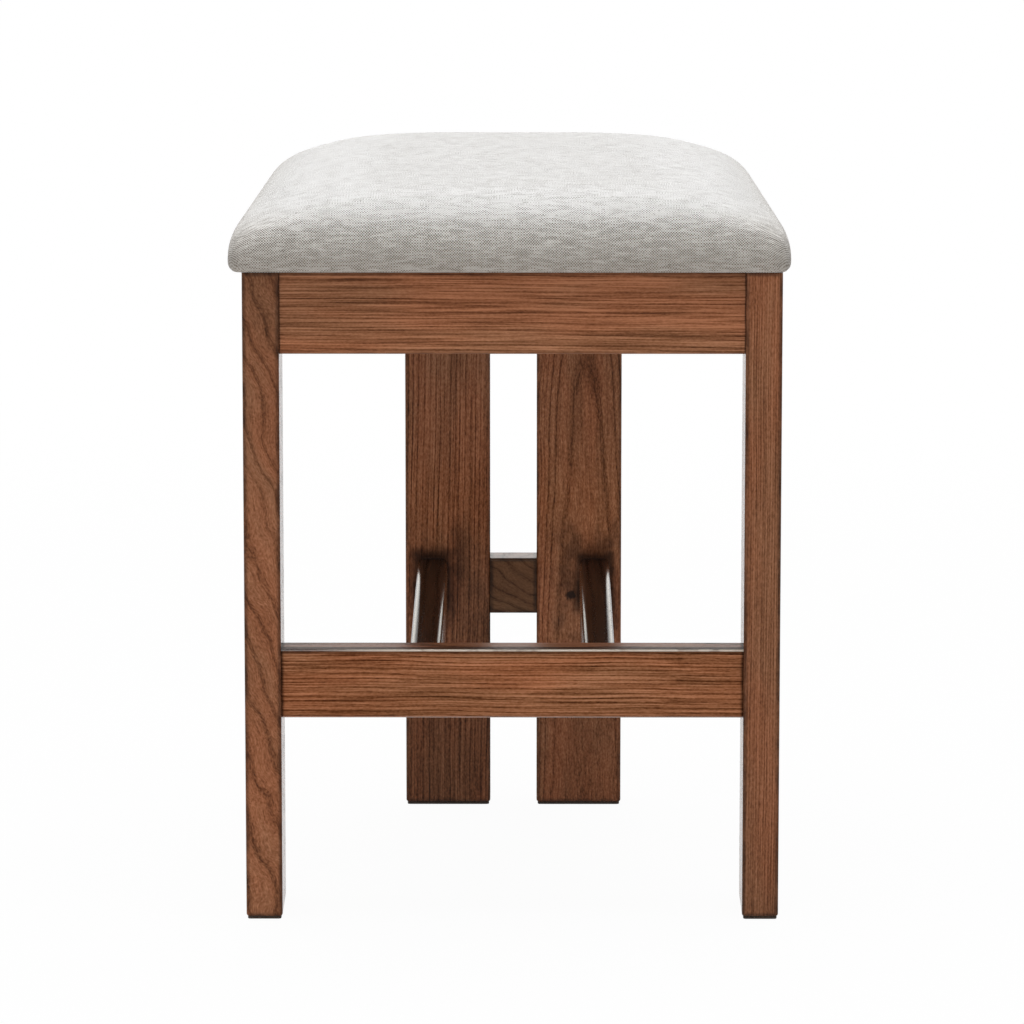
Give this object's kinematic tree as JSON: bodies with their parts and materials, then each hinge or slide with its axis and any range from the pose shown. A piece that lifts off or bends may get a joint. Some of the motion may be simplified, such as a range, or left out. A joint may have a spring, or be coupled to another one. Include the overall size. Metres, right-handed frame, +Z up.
{
  "type": "kitchen stool",
  "caption": "backless counter stool: crowned fabric seat pad on a dark wooden frame with slab front legs, paired rear legs, deep aprons, a foot rail and long stretchers",
  "frame": {"origin": "on the floor, under the middle of the stool's outer box", "axes": "+Z up, +X to the right as seen from the front, -Y towards the front with the foot rail, +Y towards the paired rear legs"},
  "size_m": [0.4908, 0.5002, 0.648],
  "materials": {
    "stained_ash": "brown stain under satin lacquer, open grain",
    "block_wood": "planed, unstained",
    "dowel_beech": "plain, glued",
    "felt": "pressed felt",
    "zinc_steel": "zinc plated",
    "staple_wire": "bright wire",
    "plywood": "bare plywood",
    "foam": "cut polyurethane foam",
    "wadding": "soft polyester wadding",
    "linen_cloth": "plain weave, pale grey with slubs",
    "dust_cloth": "black non-woven"
  },
  "bodies": {
    "root": {"front_leg_left": "stained_ash", "front_leg_right": "stained_ash", "rear_leg_left": "stained_ash", "rear_leg_right": "stained_ash", "front_apron": "stained_ash", "side_apron_left": "stained_ash", "side_apron_right": "stained_ash", "rear_apron_left": "stained_ash", "rear_apron_right": "stained_ash", "rear_apron_centre": "stained_ash", "foot_rail": "stained_ash", "stretcher_left": "stained_ash", "stretcher_right": "stained_ash", "rear_spacer": "stained_ash", "front_corner_block_left": "block_wood", "front_corner_block_right": "block_wood", "rear_corner_block_left": "block_wood", "rear_corner_block_right": "block_wood", "stretcher_dowels": "dowel_beech", "spacer_dowels": "dowel_beech", "rear_apron_dowels": "dowel_beech", "corner_splines": "dowel_beech", "front_foot_pad_left": "felt", "front_foot_pad_right": "felt", "rear_foot_pad_left": "felt", "rear_foot_pad_right": "felt", "corner_block_screws": "zinc_steel", "seat_bolts": "zinc_steel", "seat_washers": "zinc_steel", "seat_t_nuts": "zinc_steel", "cover_staples": "staple_wire", "dust_cover_staples": "staple_wire", "seat_board": "plywood", "seat_foam": "foam", "seat_wadding": "wadding", "seat_cover": "linen_cloth", "dust_cover": "dust_cloth"}
  },
  "joints": []
}
